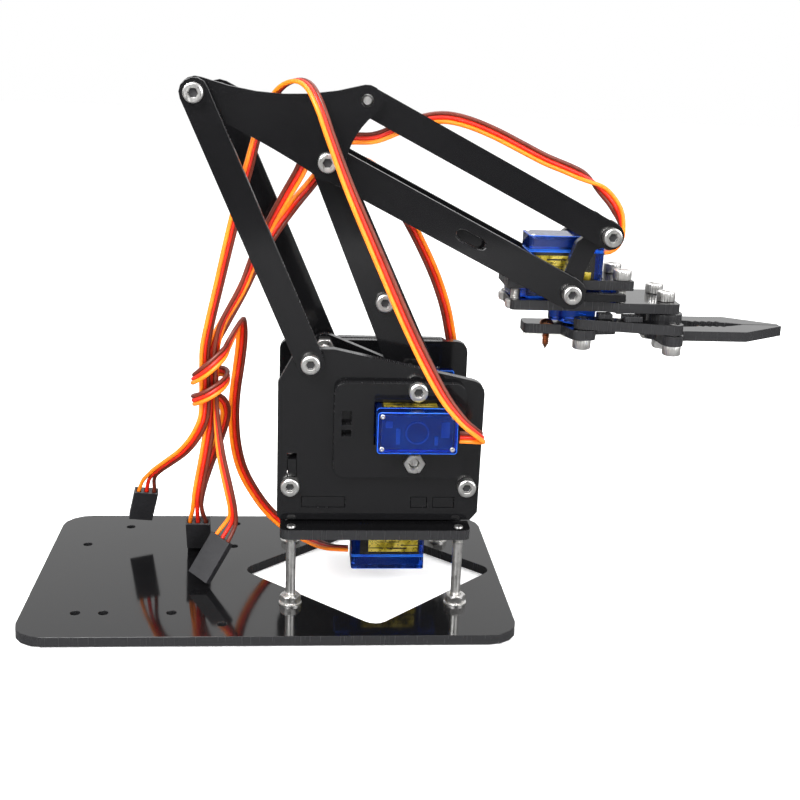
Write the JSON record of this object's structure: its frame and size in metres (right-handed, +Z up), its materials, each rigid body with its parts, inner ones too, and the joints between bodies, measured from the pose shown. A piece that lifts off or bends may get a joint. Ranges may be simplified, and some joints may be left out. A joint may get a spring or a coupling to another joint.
{
  "type": "desktop robot arm",
  "caption": "Desktop robot arm of cut acrylic plates with micro servos, parallel linkages that keep the hand level, a swivel base and a two-finger gripper.",
  "frame": {"origin": "centre of the bounding box, on the resting face of the base plate", "axes": "+X along the arm towards the gripper, +Y across it from the shoulder servo's side to the elbow servo's side, +Z up"},
  "size_m": [0.2276, 0.093, 0.1549],
  "materials": {
    "black_acrylic": "gloss",
    "stainless_steel": "satin",
    "servo_blue": "translucent gloss",
    "horn_nylon": "matt",
    "lead_orange": "matt",
    "connector_black": "matt"
  },
  "bodies": {
    "base": {"base_plate": "black_acrylic", "standoff_near_left": "stainless_steel", "standoff_near_right": "stainless_steel", "standoff_far_left": "stainless_steel", "standoff_far_right": "stainless_steel", "servo_plate": "black_acrylic", "base_servo": "servo_blue"},
    "turntable": {"turntable_plate": "black_acrylic", "near_side_plate": "black_acrylic", "far_side_plate": "black_acrylic", "near_collar": "black_acrylic", "far_collar": "black_acrylic", "column_brace": "black_acrylic", "column_bolt_left": "stainless_steel", "column_bolt_right": "stainless_steel", "ear_bolt": "stainless_steel", "yaw_horn": "horn_nylon", "shoulder_servo": "servo_blue", "elbow_servo": "servo_blue", "shoulder_lead": "lead_orange", "elbow_lead": "lead_orange", "gripper_lead": "lead_orange", "base_lead": "lead_orange", "shoulder_connector": "connector_black", "elbow_connector": "connector_black", "gripper_connector": "connector_black", "base_connector": "connector_black"},
    "upper_arm": {"upper_arm_near": "black_acrylic", "upper_arm_far": "black_acrylic", "upper_arm_bolt": "stainless_steel", "shoulder_horn": "horn_nylon", "elbow_bolt": "stainless_steel"},
    "rear_link": {"rear_link": "black_acrylic", "rear_bolt": "stainless_steel"},
    "triangle": {"triangle_plate": "black_acrylic"},
    "forearm": {"forearm_near": "black_acrylic", "forearm_far": "black_acrylic", "forearm_brace": "black_acrylic", "wrist_bolt_near": "stainless_steel", "wrist_bolt_far": "stainless_steel", "tail_bolt": "stainless_steel"},
    "top_link": {"top_link": "black_acrylic", "hand_pin_bolt": "stainless_steel"},
    "crank": {"crank": "black_acrylic", "elbow_horn": "horn_nylon"},
    "crank_pin": {"crank_bolt": "stainless_steel"},
    "drive_link": {"drive_link": "black_acrylic"},
    "hand": {"hand_bracket_near": "black_acrylic", "hand_bracket_far": "black_acrylic", "gripper_plate": "black_acrylic", "front_clamp": "black_acrylic", "back_clamp": "black_acrylic", "jaw_bolt_near": "stainless_steel", "jaw_bolt_far": "stainless_steel", "gripper_servo": "servo_blue"},
    "near_jaw": {"jaw_near": "black_acrylic"},
    "far_jaw": {"jaw_far": "black_acrylic"},
    "grip_lever": {"grip_lever": "black_acrylic", "gripper_horn": "horn_nylon"},
    "grip_link": {"grip_link": "black_acrylic"}
  },
  "joints": [
    {"name": "base_yaw", "type": "hinge", "parent": "base", "child": "turntable", "pos_m": [-0.01177, 0, 0.0325], "axis": [0, 0, 1], "range_deg": [-90, 90], "deforming": ["base_lead", "shoulder_lead", "elbow_lead", "gripper_lead"]},
    {"name": "shoulder", "type": "hinge", "parent": "turntable", "child": "upper_arm", "pos_m": [0.00423, 0, 0.059], "axis": [0, 1, 0], "range_deg": [-5, 50]},
    {"name": "rear_link_pivot", "type": "hinge", "parent": "turntable", "child": "rear_link", "pos_m": [-0.03163, -0.0228, 0.07672], "axis": [0, 1, 0], "range_deg": [-5, 50]},
    {"name": "triangle_pivot", "type": "hinge", "parent": "upper_arm", "child": "triangle", "pos_m": [-0.0278, -0.0171, 0.13231], "axis": [0, 1, 0], "range_deg": [-50, 5]},
    {"name": "elbow", "type": "hinge", "parent": "triangle", "child": "forearm", "pos_m": [-0.0278, 0, 0.13231], "axis": [0, 1, 0], "range_deg": [-35, 8]},
    {"name": "top_link_pivot", "type": "hinge", "parent": "triangle", "child": "top_link", "pos_m": [-0.0172, -0.0138, 0.14927], "axis": [0, 1, 0], "range_deg": [-35, 8]},
    {"name": "wrist", "type": "hinge", "parent": "forearm", "child": "hand", "pos_m": [0.04367, 0, 0.09636], "axis": [0, 1, 0], "range_deg": [-8, 35]},
    {"name": "crank_pivot", "type": "hinge", "parent": "turntable", "child": "crank", "pos_m": [0.00423, 0.0052, 0.059], "axis": [0, 1, 0], "range_deg": [-35, 8]},
    {"name": "crank_pin_pivot", "type": "hinge", "parent": "crank", "child": "crank_pin", "pos_m": [-0.02704, 0.007, 0.07473], "axis": [0, 1, 0], "range_deg": [-8, 35]},
    {"name": "drive_link_pivot", "type": "hinge", "parent": "crank_pin", "child": "drive_link", "pos_m": [-0.02704, 0.0105, 0.07473], "axis": [0, 1, 0], "range_deg": [-5, 50]},
    {"name": "grip", "type": "hinge", "parent": "hand", "child": "near_jaw", "pos_m": [0.07487, -0.0065, 0.08346], "axis": [0, 0, -1], "range_deg": [0, 35]},
    {"name": "far_jaw_pivot", "type": "hinge", "parent": "hand", "child": "far_jaw", "pos_m": [0.07487, 0.0065, 0.08346], "axis": [0, 0, -1], "range_deg": [-35, 0]},
    {"name": "grip_lever_pivot", "type": "hinge", "parent": "hand", "child": "grip_lever", "pos_m": [0.04927, 0, 0.08346], "axis": [0, 0, -1], "range_deg": [0, 35]},
    {"name": "grip_link_pivot", "type": "hinge", "parent": "grip_lever", "child": "grip_link", "pos_m": [0.04927, -0.01, 0.08346], "axis": [0, 0, -1], "range_deg": [-35, 0]}
  ],
  "couplings": [
    {"joint": "rear_link_pivot", "follows": "shoulder", "ratio": 1},
    {"joint": "triangle_pivot", "follows": "shoulder", "ratio": -1},
    {"joint": "drive_link_pivot", "follows": "shoulder", "ratio": 1},
    {"joint": "top_link_pivot", "follows": "elbow", "ratio": 1},
    {"joint": "wrist", "follows": "elbow", "ratio": -1},
    {"joint": "crank_pivot", "follows": "elbow", "ratio": 1},
    {"joint": "crank_pin_pivot", "follows": "elbow", "ratio": -1},
    {"joint": "far_jaw_pivot", "follows": "grip", "ratio": -1},
    {"joint": "grip_lever_pivot", "follows": "grip", "ratio": 1},
    {"joint": "grip_link_pivot", "follows": "grip", "ratio": -1}
  ]
}
